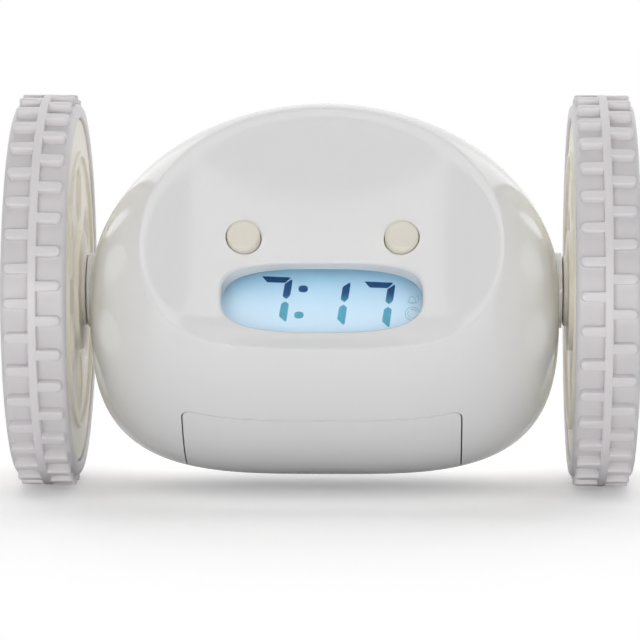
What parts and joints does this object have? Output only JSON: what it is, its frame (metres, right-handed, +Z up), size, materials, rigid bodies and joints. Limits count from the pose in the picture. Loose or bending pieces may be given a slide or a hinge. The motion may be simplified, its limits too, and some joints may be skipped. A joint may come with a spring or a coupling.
{
  "type": "rolling alarm clock",
  "caption": "Egg-shaped alarm clock with a leaning dished face, digital display and round buttons, carried between large treaded wheels that it drives itself.",
  "frame": {"origin": "on the floor under the middle of the wheel axle, half way between the wheels", "axes": "+X along the wheel axle to the viewer's right, +Y to the rear, +Z up; the face looks along -Y"},
  "size_m": [0.138, 0.088, 0.088],
  "materials": {
    "white_plastic": "gloss",
    "cream_plastic": "satin",
    "white_rubber": "satin",
    "clear_plastic": "polished",
    "lcd_glass": "satin",
    "diffuser_plastic": "matte",
    "board_laminate": "satin",
    "black_plastic": "satin",
    "grey_rubber": "matte",
    "steel": "satin",
    "cell_metal": "satin",
    "gear_plastic": "satin"
  },
  "bodies": {
    "body": {"front_shell": "white_plastic", "rear_shell": "white_plastic", "display_lens": "clear_plastic", "lcd_panel": "lcd_glass", "backlight_diffuser": "diffuser_plastic", "lcd_connector_strip": "grey_rubber", "display_circuit_board": "board_laminate", "left_eye_switch": "black_plastic", "right_eye_switch": "black_plastic", "snooze_switch": "black_plastic", "snooze_circuit_board": "board_laminate", "hour_switch": "black_plastic", "minute_switch": "black_plastic", "main_circuit_board": "board_laminate", "speaker": "black_plastic", "battery_tray": "white_plastic", "battery_cell_1": "cell_metal", "battery_cell_2": "cell_metal", "battery_cell_3": "cell_metal", "battery_cell_4": "cell_metal", "battery_contact_left": "steel", "battery_contact_right": "steel", "case_screw_1": "steel", "case_screw_2": "steel", "case_screw_3": "steel", "case_screw_4": "steel", "left_motor": "steel", "left_gear_pin": "steel", "left_gearbox_frame": "white_plastic", "left_gearbox_cover": "white_plastic", "right_motor": "steel", "right_gear_pin": "steel", "right_gearbox_frame": "white_plastic", "right_gearbox_cover": "white_plastic"},
    "left_wheel_set": {"left_wheel": "cream_plastic", "left_tyre": "white_rubber", "left_hub_cap": "cream_plastic", "left_hub_screw": "steel", "left_wheel_axle": "steel", "left_output_gear": "gear_plastic"},
    "left_transfer": {"left_transfer_gear": "gear_plastic"},
    "left_idler": {"left_idler_gear": "gear_plastic"},
    "left_pinion": {"left_motor_pinion": "gear_plastic"},
    "right_wheel_set": {"right_wheel": "cream_plastic", "right_tyre": "white_rubber", "right_hub_cap": "cream_plastic", "right_hub_screw": "steel", "right_wheel_axle": "steel", "right_output_gear": "gear_plastic"},
    "right_transfer": {"right_transfer_gear": "gear_plastic"},
    "right_idler": {"right_idler_gear": "gear_plastic"},
    "right_pinion": {"right_motor_pinion": "gear_plastic"},
    "door": {"battery_door": "white_plastic"},
    "left_eye": {"left_eye_button": "cream_plastic"},
    "right_eye": {"right_eye_button": "cream_plastic"},
    "snooze": {"snooze_button": "cream_plastic"},
    "hour": {"hour_button": "cream_plastic"},
    "minute": {"minute_button": "cream_plastic"}
  },
  "joints": [
    {"name": "left_wheel_spin", "type": "hinge", "parent": "body", "child": "left_wheel_set", "pos_m": [-0.062, 0, 0.044], "axis": [1, 0, 0], "continuous": true},
    {"name": "left_transfer_spin", "type": "hinge", "parent": "body", "child": "left_transfer", "pos_m": [-0.034, 0, 0.032], "axis": [1, 0, 0], "continuous": true},
    {"name": "left_idler_spin", "type": "hinge", "parent": "body", "child": "left_idler", "pos_m": [-0.031, 0, 0.044], "axis": [1, 0, 0], "continuous": true},
    {"name": "left_pinion_spin", "type": "hinge", "parent": "body", "child": "left_pinion", "pos_m": [-0.03, 0.006, 0.03361], "axis": [1, 0, 0], "continuous": true},
    {"name": "right_wheel_spin", "type": "hinge", "parent": "body", "child": "right_wheel_set", "pos_m": [0.062, 0, 0.044], "axis": [1, 0, 0], "continuous": true},
    {"name": "right_transfer_spin", "type": "hinge", "parent": "body", "child": "right_transfer", "pos_m": [0.034, 0, 0.032], "axis": [1, 0, 0], "continuous": true},
    {"name": "right_idler_spin", "type": "hinge", "parent": "body", "child": "right_idler", "pos_m": [0.031, 0, 0.044], "axis": [1, 0, 0], "continuous": true},
    {"name": "right_pinion_spin", "type": "hinge", "parent": "body", "child": "right_pinion", "pos_m": [0.03, 0.006, 0.03361], "axis": [1, 0, 0], "continuous": true},
    {"name": "battery_door_hinge", "type": "hinge", "parent": "body", "child": "door", "pos_m": [0, -0.0313, 0.01675], "axis": [-1, 0, 0], "range_deg": [0, 120]},
    {"name": "left_eye_press", "type": "slide", "parent": "body", "child": "left_eye", "axis": [0, 0.848, -0.5299], "range_m": [0, 0.0008], "stiffness_N_per_m": 400},
    {"name": "right_eye_press", "type": "slide", "parent": "body", "child": "right_eye", "axis": [0, 0.848, -0.5299], "range_m": [0, 0.0008], "stiffness_N_per_m": 400},
    {"name": "snooze_press", "type": "slide", "parent": "body", "child": "snooze", "axis": [0, -0.4226, -0.9063], "range_m": [0, 0.0008], "stiffness_N_per_m": 500},
    {"name": "hour_press", "type": "slide", "parent": "body", "child": "hour", "axis": [0, -1, 0], "range_m": [0, 0.0008], "stiffness_N_per_m": 400},
    {"name": "minute_press", "type": "slide", "parent": "body", "child": "minute", "axis": [0, -1, 0], "range_m": [0, 0.0008], "stiffness_N_per_m": 400}
  ],
  "couplings": [
    {"joint": "left_transfer_spin", "follows": "left_wheel_spin", "ratio": -2.75},
    {"joint": "left_idler_spin", "follows": "left_wheel_spin", "ratio": 7.5625},
    {"joint": "left_pinion_spin", "follows": "left_wheel_spin", "ratio": -20.797},
    {"joint": "right_transfer_spin", "follows": "right_wheel_spin", "ratio": -2.75},
    {"joint": "right_idler_spin", "follows": "right_wheel_spin", "ratio": 7.5625},
    {"joint": "right_pinion_spin", "follows": "right_wheel_spin", "ratio": -20.797}
  ]
}
